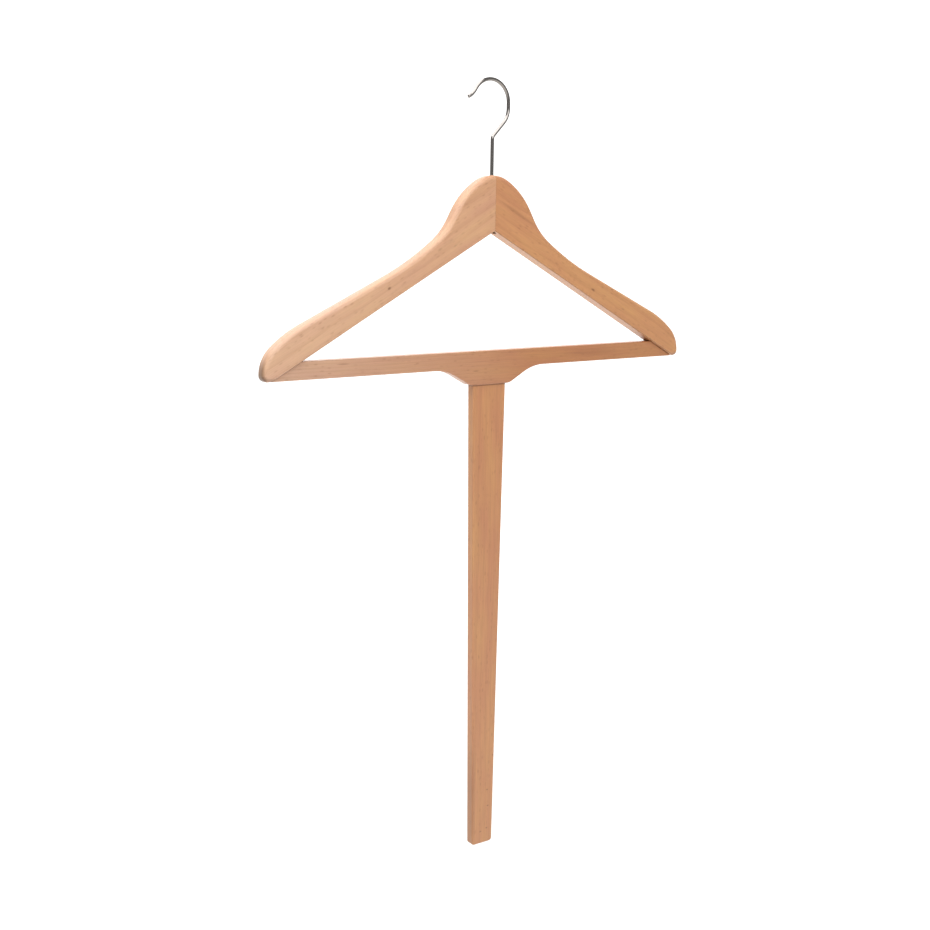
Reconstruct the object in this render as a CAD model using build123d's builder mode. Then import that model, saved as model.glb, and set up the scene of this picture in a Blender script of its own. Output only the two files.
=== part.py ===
"""Beech clothes hanger on a long tapered stem, with a swivelling wire hook.

Millimetres. X runs along the shoulders, Y through the thickness (+Y is the flat back), Z up.
The origin is the rail seat: on the shank's axis, level with the inside of the hook's crown.
"""

from build123d import *
import os
from math import atan2, asin, cos, degrees, hypot, radians, sin, tan

os.makedirs("parts", exist_ok=True)

# Hook: one bent wire that turns in the head
wire_d = 3.3
hook_rise = 78.8            # wood top to the wire's centre at the crown
crown_r = 18.6              # all bend radii are of the wire's centre line
crown_turn = 148.0
lip_r = 18.0
lip_turn = 34.0
side_run = 4.5              # straight run beside the crown
side_r = 17.5
diagonal_run = 14.5
shank_bend_r = 5.0
shank_bend_turn = 44.0
tip_rounding = 1.2
thread_d = 3.0
thread_tail = 1.0           # thread left standing below the nut

# Nut and washer on the shank's lower end
nut_across_flats = 5.5
nut_thickness = 2.4
washer_d = 7.0
washer_thickness = 0.5
pocket_d = 9.0              # bored up from the inner peak
pocket_depth = 6.0          # from the inner peak up to the washer's seat

# Arms: two flat boards, mitred together under the hook
span = 445.0
arm_thickness = 13.0
head_height = 46.8          # inner peak to the top of the head
underside_angle = 28.4      # slope of the arms' straight lower edge
crown_top_r = 30.0          # outer edge, from the head down to the tip
crown_top_turn = 30.0
temple_r = 68.0
temple_dip = 31.6           # degrees that the temple ends steeper than the underside
neck_run = 9.7
neck_r = 58.0
neck_turn = 23.0
shoulder_r = 265.0
sleeve_r = 107.0
nose_r = 29.0
nose_dip = 13.6             # degrees that the nose starts steeper than the underside
tip_corner_r = 5.0
tip_overhang = 6.2          # tip's end beyond the cross bar's lower corner
outer_round = 4.5
lower_ease = 1.0

# Cross bar with the apron that carries the stem
bar_height = 15.0
bar_thickness = 10.0
bar_nose = 1.5              # blunt height left on the bar's sharp ends
bar_ease = 1.0
apron_drop = 14.5
apron_angle = 29.0
apron_hollow_r = 45.0
apron_shoulder_r = 11.0
apron_land = 0.7            # apron beyond the stem's top, each side

# Stem
stem_length = 431.0
stem_top_width = 35.0
stem_foot_width = 22.6
stem_thickness = 8.5
foot_corner_r = 3.0
stem_ease = 1.2

# Dowels
head_dowel_d = 6.0
head_dowel_length = 40.0
upper_dowel_height = 32.0   # above the inner peak
lower_dowel_height = 15.0
bar_dowel_d = 5.0
bar_dowel_length = 26.0
bar_dowel_bite = 11.5       # into the arm, beyond the joint
stem_dowel_d = 5.0
stem_dowel_length = 30.0
stem_dowel_spacing = 18.0

# Fits
swivel_clearance = 0.08     # shank in its hole, on the radius
seat_clearance = 0.05       # washer under its seat
glue_line = 0.05            # on the radius of a dowel, and on each mitre face
thread_clearance = 0.02     # thread in the nut and washer, on the radius
hole_end_gap = 0.5          # dowel holes run past each dowel's end
dowel_chamfer = 0.6

# Making
cutter_margin = 6.0         # how far a cut starts and ends outside the wood
underside_reach = 1.25      # edges nearer to the underside's line than this belong to it

# Worked out from the sizes above
half_span = span / 2
slope = tan(radians(underside_angle))
head_top_z = wire_d / 2 - hook_rise
peak_z = head_top_z - head_height
bar_bottom_z = peak_z - slope * (half_span - tip_overhang)
bar_top_z = bar_bottom_z + bar_height
stem_top_z = bar_bottom_z - apron_drop
foot_z = stem_top_z - stem_length
back_y = arm_thickness / 2
bar_middle_y = back_y - bar_thickness / 2
stem_middle_y = back_y - stem_thickness / 2
seat_z = peak_z + pocket_depth
washer_top_z = seat_z - seat_clearance
nut_top_z = washer_top_z - washer_thickness
shank_end_z = nut_top_z - nut_thickness - thread_tail
shank_hole_r = wire_d / 2 + swivel_clearance
bar_joint_z = (bar_top_z + bar_bottom_z) / 2
temple_turn = underside_angle + temple_dip - crown_top_turn
nose_turn = 90 - underside_angle - nose_dip


def underside_x(z):
    """Where an arm's lower edge reaches the height z."""
    return (peak_z - z) / slope


def arc_step(x, z, heading, radius, turn):
    """The point and heading after an arc; headings and turns are in degrees, left turns positive."""
    side = 1 if turn > 0 else -1
    centre_x = x - side * radius * sin(radians(heading))
    centre_z = z + side * radius * cos(radians(heading))
    heading += turn
    end_x = centre_x + side * radius * sin(radians(heading))
    end_z = centre_z - side * radius * cos(radians(heading))
    return end_x, end_z, heading


def shoulder_heading():
    """Heading of the straight shoulder, which touches the shoulder and sleeve arcs at its two ends."""
    x, z, heading = arc_step(0, head_top_z, 0, crown_top_r, -crown_top_turn)
    x, z, heading = arc_step(x, z, heading, temple_r, -temple_turn)
    x += neck_run * cos(radians(heading))
    z += neck_run * sin(radians(heading))
    x, z, heading = arc_step(x, z, heading, neck_r, neck_turn)
    upper_x = x - shoulder_r * sin(radians(heading))
    upper_z = z + shoulder_r * cos(radians(heading))
    nose_heading = -90 + nose_turn
    nose_x = half_span - nose_r + nose_r * sin(radians(-nose_heading))
    nose_z = bar_bottom_z + tip_corner_r + nose_r * cos(radians(nose_heading))
    lower_x = nose_x + sleeve_r * sin(radians(nose_heading))
    lower_z = nose_z - sleeve_r * cos(radians(nose_heading))
    between = hypot(lower_x - upper_x, lower_z - upper_z)
    centres = atan2(lower_z - upper_z, lower_x - upper_x)
    return degrees(centres + asin((shoulder_r + sleeve_r) / between))


def on_outer_edge(edge):
    """True for the edges that follow an arm's outer curve."""
    middle = edge @ 0.5
    above_underside = middle.Z - (peak_z - slope * middle.X)
    return above_underside > underside_reach and middle.X > glue_line


def on_lower_edge(edge):
    """True for the edges along an arm's straight underside."""
    middle = edge @ 0.5
    from_underside = abs(middle.Z - (peak_z - slope * middle.X))
    return from_underside < underside_reach and edge.length > half_span / 2


def below_stem_top(edge):
    """True for every edge of the stem's faces but the one that butts against the apron."""
    return (edge @ 0.5).Z < stem_top_z - stem_ease


def off_the_joint(edge):
    """True for the edges of the cross bar that run clear of the arms and of the bar's blunt ends."""
    middle = edge @ 0.5
    below_arms = peak_z - slope * abs(middle.X) - middle.Z
    return below_arms > bar_nose and abs(middle.X) < bar_nose_x - bar_nose


bar_nose_x = underside_x(bar_bottom_z + bar_nose)
bar_dowel_end = underside_x(bar_joint_z) + bar_dowel_bite
bar_dowel_start = bar_dowel_end - bar_dowel_length


# Hook --------------------------------------------------------------------------------------------
crown_height = wire_d / 2 - crown_r
bend_start_z = (
    crown_height
    - side_run
    - (side_r + shank_bend_r) * sin(radians(shank_bend_turn))
    - diagonal_run * cos(radians(shank_bend_turn))
)

with BuildPart() as hook:
    with BuildLine(Plane.XZ) as hook_path:
        shank = Line((0, nut_top_z + washer_thickness), (0, bend_start_z))
        shank_bend = JernArc(shank @ 1, (0, 1), shank_bend_r, -shank_bend_turn)
        heading_up = (sin(radians(shank_bend_turn)), cos(radians(shank_bend_turn)))
        diagonal = PolarLine(shank_bend @ 1, diagonal_run, direction=heading_up)
        side_bend = JernArc(diagonal @ 1, heading_up, side_r, shank_bend_turn)
        side = PolarLine(side_bend @ 1, side_run, direction=(0, 1))
        crown = JernArc(side @ 1, (0, 1), crown_r, crown_turn)
        lip_heading = radians(90 + crown_turn)
        lip = JernArc(crown @ 1, (cos(lip_heading), sin(lip_heading)), lip_r, -lip_turn)
    with BuildSketch(Plane.XY.offset(nut_top_z + washer_thickness)):
        Circle(wire_d / 2)
    sweep(path=hook_path.line)
    tip_edge = hook.edges().filter_by(GeomType.CIRCLE).sort_by(Axis.X)[0]
    fillet(tip_edge, tip_rounding)
    with BuildSketch(Plane.XY.offset(shank_end_z)):
        Circle(thread_d / 2)
    extrude(amount=washer_top_z - shank_end_z)
hook.part.label = "hook"
export_step(hook.part, "parts/hook.step")

with BuildPart() as hook_washer:
    with BuildSketch(Plane.XY.offset(nut_top_z)):
        Circle(washer_d / 2)
        Circle(thread_d / 2 + thread_clearance, mode=Mode.SUBTRACT)
    extrude(amount=washer_thickness)
hook_washer.part.label = "hook_washer"
export_step(hook_washer.part, "parts/hook_washer.step")

with BuildPart() as hook_nut:
    with BuildSketch(Plane.XY.offset(nut_top_z - nut_thickness)):
        RegularPolygon(nut_across_flats / 2, 6, major_radius=False)
        Circle(thread_d / 2 + thread_clearance, mode=Mode.SUBTRACT)
    extrude(amount=nut_thickness)
hook_nut.part.label = "hook_nut"
export_step(hook_nut.part, "parts/hook_nut.step")


# Arms --------------------------------------------------------------------------------------------
shoulder_turn = shoulder_heading() + crown_top_turn + temple_turn - neck_turn
sleeve_turn = -90 + nose_turn - shoulder_heading()

with BuildPart() as right_arm:
    with BuildSketch(Plane.XZ):
        with BuildLine():
            top_arc = JernArc((0, head_top_z), (1, 0), crown_top_r, -crown_top_turn)
            temple = JernArc(top_arc @ 1, top_arc % 1, temple_r, -temple_turn)
            neck = PolarLine(temple @ 1, neck_run, direction=temple % 1)
            hollow = JernArc(neck @ 1, neck % 1, neck_r, neck_turn)
            shoulder = JernArc(hollow @ 1, hollow % 1, shoulder_r, shoulder_turn)
            nose = JernArc((half_span, bar_bottom_z + tip_corner_r), (0, 1), nose_r, nose_turn)
            sleeve = JernArc(nose @ 1, nose % 1, sleeve_r, -sleeve_turn)
            Line(shoulder @ 1, sleeve @ 1)
            corner = JernArc(nose @ 0, (0, -1), tip_corner_r, -90)
            Polyline(
                corner @ 1,
                (underside_x(bar_bottom_z), bar_bottom_z),
                (0, peak_z),
                (0, head_top_z),
            )
        make_face()
    extrude(amount=arm_thickness / 2, both=True)
    fillet(right_arm.faces().filter_by(Axis.Y).edges().filter_by(on_outer_edge), outer_round)
    fillet(right_arm.edges().filter_by(on_lower_edge), lower_ease)
    with BuildSketch(Plane.YZ):
        with Locations((0, (head_top_z + peak_z) / 2)):
            Rectangle(arm_thickness, head_height + cutter_margin)
    extrude(amount=glue_line, mode=Mode.SUBTRACT)
    with BuildSketch(Plane.XY.offset(peak_z - cutter_margin)):
        Circle(shank_hole_r)
    extrude(amount=head_height + 2 * cutter_margin, mode=Mode.SUBTRACT)
    with BuildSketch(Plane.XY.offset(seat_z)):
        Circle(pocket_d / 2)
    extrude(amount=-(pocket_depth + cutter_margin), mode=Mode.SUBTRACT)
    with BuildSketch(Plane.YZ):
        with Locations((0, peak_z + upper_dowel_height), (0, peak_z + lower_dowel_height)):
            Circle(head_dowel_d / 2 + glue_line)
    extrude(amount=head_dowel_length / 2 + hole_end_gap, mode=Mode.SUBTRACT)
    with BuildSketch(Plane.YZ.offset(bar_dowel_start)):
        with Locations((bar_middle_y, bar_joint_z)):
            Circle(bar_dowel_d / 2 + glue_line)
    extrude(amount=bar_dowel_length + hole_end_gap, mode=Mode.SUBTRACT)
right_arm.part.label = "right_arm"
export_step(right_arm.part, "parts/right_arm.step")

with BuildPart() as left_arm:
    mirror(right_arm.part, about=Plane.YZ)
left_arm.part.label = "left_arm"
export_step(left_arm.part, "parts/left_arm.step")


# Cross bar ---------------------------------------------------------------------------------------
apron_half = stem_top_width / 2 + apron_land
apron_arc_drop = (apron_hollow_r + apron_shoulder_r) * (1 - cos(radians(apron_angle)))
apron_run = (apron_drop - apron_arc_drop) / sin(radians(apron_angle))

with BuildPart() as cross_bar:
    with BuildSketch(Plane.XZ.offset(-back_y)):
        with BuildLine():
            land = Line((0, stem_top_z), (apron_half, stem_top_z))
            apron_shoulder = JernArc(land @ 1, (1, 0), apron_shoulder_r, apron_angle)
            ramp = PolarLine(apron_shoulder @ 1, apron_run, direction=apron_shoulder % 1)
            apron_hollow = JernArc(ramp @ 1, ramp % 1, apron_hollow_r, -apron_angle)
            Polyline(
                apron_hollow @ 1,
                (bar_nose_x, bar_bottom_z),
                (bar_nose_x, bar_bottom_z + bar_nose),
                (underside_x(bar_top_z), bar_top_z),
                (0, bar_top_z),
            )
            mirror(about=Plane.YZ)
        make_face()
    extrude(amount=bar_thickness)
    fillet(cross_bar.faces().filter_by(Axis.Y).edges().filter_by(off_the_joint), bar_ease)
    for side in (1, -1):
        with BuildSketch(Plane.YZ.offset(side * (bar_dowel_start - hole_end_gap))):
            with Locations((bar_middle_y, bar_joint_z)):
                Circle(bar_dowel_d / 2 + glue_line)
        extrude(amount=side * (bar_dowel_length + hole_end_gap), mode=Mode.SUBTRACT)
    with BuildSketch(Plane.XY.offset(stem_top_z)):
        with Locations((0, stem_middle_y)):
            with GridLocations(stem_dowel_spacing, 0, 2, 1):
                Circle(stem_dowel_d / 2 + glue_line)
    extrude(amount=stem_dowel_length / 2 + hole_end_gap, mode=Mode.SUBTRACT)
cross_bar.part.label = "cross_bar"
export_step(cross_bar.part, "parts/cross_bar.step")


# Stem --------------------------------------------------------------------------------------------
with BuildPart() as stem:
    with BuildSketch(Plane.XZ.offset(-back_y)) as stem_face:
        with BuildLine():
            Polyline(
                (-stem_top_width / 2, stem_top_z),
                (stem_top_width / 2, stem_top_z),
                (stem_foot_width / 2, foot_z),
                (-stem_foot_width / 2, foot_z),
                close=True,
            )
        make_face()
        fillet(stem_face.vertices().group_by(Axis.Y)[0], foot_corner_r)
    extrude(amount=stem_thickness)
    fillet(stem.faces().filter_by(Axis.Y).edges().filter_by(below_stem_top), stem_ease)
    with BuildSketch(Plane.XY.offset(stem_top_z)):
        with Locations((0, stem_middle_y)):
            with GridLocations(stem_dowel_spacing, 0, 2, 1):
                Circle(stem_dowel_d / 2 + glue_line)
    extrude(amount=-(stem_dowel_length / 2 + hole_end_gap), mode=Mode.SUBTRACT)
stem.part.label = "stem"
export_step(stem.part, "parts/stem.step")


# Dowels ------------------------------------------------------------------------------------------
for name, height in (
    ("head_dowel_upper", upper_dowel_height),
    ("head_dowel_lower", lower_dowel_height),
):
    with BuildPart() as head_dowel:
        with BuildSketch(Plane.YZ):
            with Locations((0, peak_z + height)):
                Circle(head_dowel_d / 2)
        extrude(amount=head_dowel_length / 2, both=True)
        chamfer(head_dowel.edges().filter_by(GeomType.CIRCLE), dowel_chamfer)
        with BuildSketch(Plane.XY.offset(peak_z + height)):
            Circle(shank_hole_r)
        extrude(amount=cutter_margin, both=True, mode=Mode.SUBTRACT)
    head_dowel.part.label = name
    export_step(head_dowel.part, f"parts/{name}.step")

for name, side in (("right_bar_dowel", 1), ("left_bar_dowel", -1)):
    with BuildPart() as bar_dowel:
        with BuildSketch(Plane.YZ.offset(side * bar_dowel_start)):
            with Locations((bar_middle_y, bar_joint_z)):
                Circle(bar_dowel_d / 2)
        extrude(amount=side * bar_dowel_length)
        chamfer(bar_dowel.edges().filter_by(GeomType.CIRCLE), dowel_chamfer)
    bar_dowel.part.label = name
    export_step(bar_dowel.part, f"parts/{name}.step")

for name, side in (("stem_dowel_right", 1), ("stem_dowel_left", -1)):
    with BuildPart() as stem_dowel:
        with BuildSketch(Plane.XY.offset(stem_top_z)):
            with Locations((side * stem_dowel_spacing / 2, stem_middle_y)):
                Circle(stem_dowel_d / 2)
        extrude(amount=stem_dowel_length / 2, both=True)
        chamfer(stem_dowel.edges().filter_by(GeomType.CIRCLE), dowel_chamfer)
    stem_dowel.part.label = name
    export_step(stem_dowel.part, f"parts/{name}.step")
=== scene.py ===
"""The looks of a beech clothes hanger with a long stem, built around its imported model.

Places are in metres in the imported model's frame: X along the shoulders, Y through the thickness
with +Y at the flat back, Z up, and the origin where a rail carries the hook. Sizes of the wood
and the wire are in millimetres, as a joiner would write them, and MM turns them into metres.
"""

import logging
import math
from dataclasses import dataclass
from enum import Enum

import bpy
import numpy as np
from mathutils import Matrix, Vector


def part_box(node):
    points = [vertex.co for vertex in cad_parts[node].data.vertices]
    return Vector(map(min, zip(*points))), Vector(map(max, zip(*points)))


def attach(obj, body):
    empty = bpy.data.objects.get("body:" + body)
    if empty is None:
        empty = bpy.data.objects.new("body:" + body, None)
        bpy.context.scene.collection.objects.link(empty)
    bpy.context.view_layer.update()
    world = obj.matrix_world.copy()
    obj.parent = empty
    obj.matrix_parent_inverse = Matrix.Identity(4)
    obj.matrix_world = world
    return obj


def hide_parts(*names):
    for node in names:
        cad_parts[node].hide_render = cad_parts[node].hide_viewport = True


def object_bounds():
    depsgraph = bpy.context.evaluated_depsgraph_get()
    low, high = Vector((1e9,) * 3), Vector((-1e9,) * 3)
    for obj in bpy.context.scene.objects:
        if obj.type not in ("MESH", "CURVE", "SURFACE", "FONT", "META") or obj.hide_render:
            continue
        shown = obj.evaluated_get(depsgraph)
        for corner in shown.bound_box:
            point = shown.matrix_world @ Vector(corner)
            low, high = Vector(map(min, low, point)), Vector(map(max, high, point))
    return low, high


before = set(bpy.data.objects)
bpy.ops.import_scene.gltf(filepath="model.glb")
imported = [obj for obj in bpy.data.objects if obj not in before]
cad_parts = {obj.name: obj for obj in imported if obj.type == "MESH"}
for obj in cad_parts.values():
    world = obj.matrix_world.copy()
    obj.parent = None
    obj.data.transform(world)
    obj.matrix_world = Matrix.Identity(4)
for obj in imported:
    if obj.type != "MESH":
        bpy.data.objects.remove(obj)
cad_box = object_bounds()

log = logging.getLogger("hanger")
MM = 0.001

# Places of a Mix node's colour sockets, which share their names with its number sockets.
MIX_FACTOR, MIX_A, MIX_B, MIX_RESULT = 0, 6, 7, 2

Colour = tuple[float, float, float, float]
Triple = tuple[float, float, float]


# Nodes -------------------------------------------------------------------------------------------
def linear(hex_colour: str) -> Colour:
    """Turn an sRGB hex colour into linear light.

    Each channel c of 0 to 1 becomes c / 12.92 up to 0.04045 and ((c + 0.055) / 1.055) ** 2.4 above.

    Args:
        hex_colour: six hex digits, such as "C8966B".

    Returns:
        Red, green, blue and an alpha of 1.
    """
    channels = np.array([int(hex_colour[i : i + 2], 16) / 255 for i in (0, 2, 4)])
    lit = np.where(channels <= 0.04045, channels / 12.92, ((channels + 0.055) / 1.055) ** 2.4)
    return (*lit.tolist(), 1.0)


def add(
    tree: bpy.types.NodeTree, kind: str, inputs: dict | None = None, **settings: object
) -> bpy.types.Node:
    """Add one shader node, set its properties and fill its inputs.

    Args:
        tree: the node tree that gets the node.
        kind: the node's type, without its ShaderNode prefix.
        inputs: an input's name or place, and the constant or the output socket that goes into it.
        settings: the node's own properties, such as operation.

    Returns:
        The new node.
    """
    node = tree.nodes.new("ShaderNode" + kind)
    for name, value in settings.items():
        setattr(node, name, value)
    for key, value in (inputs or {}).items():
        if isinstance(value, bpy.types.NodeSocket):
            tree.links.new(value, node.inputs[key])
        else:
            node.inputs[key].default_value = value
    return node


def new_material(name: str, surface: dict) -> tuple[bpy.types.Material, bpy.types.Node]:
    """Make a material that holds one Principled shader.

    Args:
        name: the material's name.
        surface: the shader's own constant values.

    Returns:
        The material and its shader node.
    """
    material = bpy.data.materials.new(name)
    material.use_nodes = True
    tree = material.node_tree
    tree.nodes.clear()
    shader = add(tree, "BsdfPrincipled", surface)
    add(tree, "OutputMaterial", {"Surface": shader.outputs["BSDF"]})
    return material, shader


# Finishes ----------------------------------------------------------------------------------------
class Sheen(Enum):
    """What the wood's surface was left with: its roughness at the fibres' crests and hollows."""

    SATIN_LACQUER = (0.38, 0.50)
    RAW = (0.74, 0.86)


@dataclass(frozen=True)
class MarkOrPaintedShade:
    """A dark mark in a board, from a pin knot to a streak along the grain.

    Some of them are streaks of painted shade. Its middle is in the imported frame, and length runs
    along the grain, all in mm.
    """

    middle: Triple
    length: float
    width: float
    depth: float = 3.0
    strength: float = 0.6


@dataclass(frozen=True)
class PaintedJointShadow:
    """Painted shadow along a joint line on a board, where a proud neighbour shades it: a point on
    the joint and the way into the board, in mm.
    """

    point: Triple
    inwards: Triple
    width: float = 1.1
    strength: float = 0.75


@dataclass(frozen=True)
class BoardCut:
    """How one board was sawn from the tree.

    The grain climbs by grain_angle degrees from +X. The tree's heart lies at pith, across the
    grain in mm, and sets which way the rings cross the board. start moves the cut along the trunk,
    so that no two boards show the same figure. redness runs from -1, straw, to 1, blush. The pale
    shares at the hanger's left and right ends set a painted sheen, and steamed is how much deeper
    the steaming turned the whole board. The edge share sets the painted shade on the eased edges
    that look down. The dark marks are the board's own marks and streaks of painted shade, and the
    joint lines are painted shadows where a neighbour stands proud of the board.
    """

    name: str
    grain_angle: float
    pith: tuple[float, float]
    start: float
    redness: float = 0.0
    # Painted sheen: shares of a pale colour laid on at the hanger's left and right ends.
    painted_sheen: tuple[float, float] = (0.0, 0.0)
    steamed: float = 0.0
    # Painted shade on the eased edges that look down.
    painted_edge_shade: float = 0.0
    # The board's own marks, and streaks of painted shade.
    marks_and_painted_shade: tuple[MarkOrPaintedShade, ...] = ()
    # Painted shadows along the board's joint lines.
    joints: tuple[PaintedJointShadow, ...] = ()


@dataclass(frozen=True)
class SteamedBeech:
    """Steamed beech, planed and sanded: warm, pinkish, fine and even, with short dark ray flecks.

    Beech is diffuse-porous, so its rings show as faint, thin, darker lines and most of its figure
    comes from the rays: on a board's face they are lens-shaped flecks along the grain.
    """

    straw: str = "C8935E"
    blush: str = "BE825B"
    # Pale colour of the painted sheen.
    painted_sheen: str = "F2E2D2"
    steamed: str = "96582E"
    latewood: str = "9A6238"
    ray: str = "85502E"
    # Dark colour of the board's own marks, also laid on as painted shade.
    mark_or_shade: str = "6E4222"
    # Colour of the painted shadow along the joint lines.
    joint_shadow: str = "5E3A20"
    end_grain: str = "6C4A2E"
    ring_spacing: float = 3.2   # mm, a plantation beech
    ring_share: float = 0.20    # how much of the latewood's shade a ring gets
    ring_wander: float = 5.0    # mm that a ring strays from its circle
    bend_length: float = 150.0  # mm along the grain, and bend_width across it, of one bend
    bend_width: float = 40.0
    latewood_edge: float = 4.0  # power that keeps the dark wood to the ring's last part
    fleck_share: float = 0.34
    fleck_length: float = 6.5   # mm between flecks along the grain
    fleck_width: float = 1.9    # real rays are 0.1 to 0.5 mm thick; drawn wider, so that they show
    fleck_reach: float = 9.0    # mm that a ray runs towards the heart
    fleck_lens: tuple[float, float] = (0.44, 0.08)  # cell distances at a fleck's rim and middle
    fleck_chance: float = 0.35  # the part of the cells that hold none
    fibre_length: float = 26.0
    fibre_width: float = 0.8    # real fibres are 0.02 mm; drawn coarser, so that they show
    fibre_relief: float = 0.02  # mm of raised grain under the finish
    fibre_light: tuple[float, float] = (0.93, 1.06)  # brightness in the hollows and on the crests
    band_length: float = 75.0   # mm along the grain, and band_width across it, of a colour band
    band_width: float = 12.0
    band_softness: float = 0.22
    redness_shift: float = 0.2  # how far a board's redness moves the bands
    end_cosines: tuple[float, float] = (0.45, 0.95)  # to the grain, where end grain starts and is full
    eased_slopes: tuple[float, float] = (-0.05, -0.35)  # the same for how far an edge looks down
    end_share: float = 0.85     # how much darker the sawn ends are
    lacquer: float = 0.45       # weight of the lacquer's coat
    lacquer_roughness: float = 0.28

    def material(self, cut: BoardCut, sheen: Sheen) -> bpy.types.Material:
        """Make the material of one board.

        Args:
            cut: how the board was sawn.
            sheen: the board's surface finish.

        Returns:
            The board's own material.
        """
        coated = self.lacquer if sheen is Sheen.SATIN_LACQUER else 0.0
        material, shader = new_material(
            "beech_" + cut.name,
            {
                "IOR": 1.5,
                "Coat Weight": coated,
                "Coat Roughness": self.lacquer_roughness,
                "Coat IOR": 1.5,
            },
        )
        tree = material.node_tree
        grain = self.along_the_grain(tree, cut)
        fibres = self.fibres(tree, grain)
        flecks = self.ray_flecks(tree, grain, cut)
        rings = self.rings(tree, grain, cut)
        colour = self.tone(tree, grain, cut)
        colour = self.shaded(tree, colour, self.latewood, rings, self.ring_share)
        colour = self.shaded(tree, colour, self.ray, flecks, self.fleck_share)
        colour = self.fibre_shade(tree, colour, fibres)
        # The board's own marks, and streaks of painted shade.
        for mark_or_shade in cut.marks_and_painted_shade:
            mark = self.mark_or_shade_mask(tree, cut, mark_or_shade)
            colour = self.shaded(tree, colour, self.mark_or_shade, mark, mark_or_shade.strength)
        # Painted shadow along the joint lines.
        for joint in cut.joints:
            line = self.joint_shadow_mask(tree, joint)
            colour = self.shaded(tree, colour, self.joint_shadow, line, joint.strength)
        ends = self.cut_ends(tree, cut)
        colour = self.shaded(tree, colour, self.end_grain, ends, self.end_share)
        # Painted shade: the eased edges that look down are darkened.
        if cut.painted_edge_shade:
            colour = self.shaded(tree, colour, self.mark_or_shade, self.eased_edges(tree), cut.painted_edge_shade)
        crest, hollow = sheen.value
        roughness = add(tree, "MapRange", {"Value": fibres, "To Min": crest, "To Max": hollow})
        raised = {"Strength": 0.6, "Distance": self.fibre_relief * MM, "Height": fibres}
        relief = add(tree, "Bump", raised)
        tree.links.new(colour, shader.inputs["Base Color"])
        tree.links.new(roughness.outputs["Result"], shader.inputs["Roughness"])
        tree.links.new(relief.outputs["Normal"], shader.inputs["Normal"])
        return material

    def along_the_grain(self, tree: bpy.types.NodeTree, cut: BoardCut) -> bpy.types.NodeSocket:
        """Place each point in the tree: mm along the grain, through the board and across its face.

        Slow noise, far longer along the grain than across it, bends the grain a little.

        Args:
            tree: the board's node tree.
            cut: how the board was sawn.

        Returns:
            The socket of those three lengths.
        """
        place = add(tree, "TexCoord").outputs["Object"]
        in_mm = add(tree, "VectorMath", {0: place, 1: (1 / MM,) * 3}, operation="MULTIPLY")
        turned = add(
            tree,
            "Mapping",
            {
                "Vector": in_mm.outputs[0],
                "Location": (cut.start, 0, 0),
                "Rotation": (0, math.radians(cut.grain_angle), 0),
            },
        ).outputs[0]
        bend = (1 / self.bend_length, 1 / self.bend_width, 1 / self.bend_width)
        slow = add(tree, "VectorMath", {0: turned, 1: bend}, operation="MULTIPLY")
        drift = add(tree, "TexNoise", {"Vector": slow.outputs[0], "Scale": 1.0, "Detail": 2.0})
        centred = add(
            tree, "VectorMath", {0: drift.outputs["Color"], 1: (0.5,) * 3}, operation="SUBTRACT"
        )
        strayed = add(
            tree,
            "VectorMath",
            {0: centred.outputs[0], 1: (0, self.ring_wander, self.ring_wander), 2: turned},
            operation="MULTIPLY_ADD",
        )
        return strayed.outputs[0]

    def rings(
        self, tree: bpy.types.NodeTree, grain: bpy.types.NodeSocket, cut: BoardCut
    ) -> bpy.types.NodeSocket:
        """Find the latewood: a power of the fraction of the distance from the pith in rings.

        Args:
            tree: the board's node tree.
            grain: the lengths from along_the_grain.
            cut: how the board was sawn.

        Returns:
            A socket that rises slowly over each year's growth to 1 and drops at the next.
        """
        pith = (0, cut.pith[0], cut.pith[1])
        from_pith = add(tree, "VectorMath", {0: grain, 1: pith}, operation="SUBTRACT")
        across = add(tree, "VectorMath", {0: from_pith.outputs[0], 1: (0, 1, 1)}, operation="MULTIPLY")
        radius = add(tree, "VectorMath", {0: across.outputs[0]}, operation="LENGTH").outputs["Value"]
        years = add(tree, "Math", {0: radius, 1: self.ring_spacing}, operation="DIVIDE")
        season = add(tree, "Math", {0: years.outputs[0]}, operation="FRACT")
        late = add(tree, "Math", {0: season.outputs[0], 1: self.latewood_edge}, operation="POWER")
        return late.outputs[0]

    def ray_flecks(
        self, tree: bpy.types.NodeTree, grain: bpy.types.NodeSocket, cut: BoardCut
    ) -> bpy.types.NodeSocket:
        """Find the rays: cells that are long along the grain and towards the pith, and thin round it.

        A share of the cells, chosen by each cell's own random colour, holds a fleck at its middle.

        Args:
            tree: the board's node tree.
            grain: the lengths from along_the_grain.
            cut: how the board was sawn.

        Returns:
            A socket that is 1 in a strong fleck and 0 between flecks.
        """
        towards_pith = math.atan2(cut.pith[1], -cut.pith[0])
        radial = add(tree, "Mapping", {"Vector": grain, "Rotation": (towards_pith, 0, 0)}).outputs[0]
        cell = (1 / self.fleck_length, 1 / self.fleck_reach, 1 / self.fleck_width)
        cells = add(tree, "VectorMath", {0: radial, 1: cell}, operation="MULTIPLY").outputs[0]
        ray = add(tree, "TexVoronoi", {"Vector": cells, "Scale": 1.0})
        rim, core = self.fleck_lens
        lens = add(
            tree,
            "MapRange",
            {"Value": ray.outputs["Distance"], "From Min": rim, "From Max": core},
            interpolation_type="SMOOTHSTEP",
        )
        chance = add(tree, "SeparateColor", {"Color": ray.outputs["Color"]}).outputs["Red"]
        chosen = add(
            tree, "MapRange", {"Value": chance, "From Min": self.fleck_chance, "From Max": 1.0}
        )
        return add(
            tree, "Math", {0: lens.outputs[0], 1: chosen.outputs[0]}, operation="MULTIPLY"
        ).outputs[0]

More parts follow.
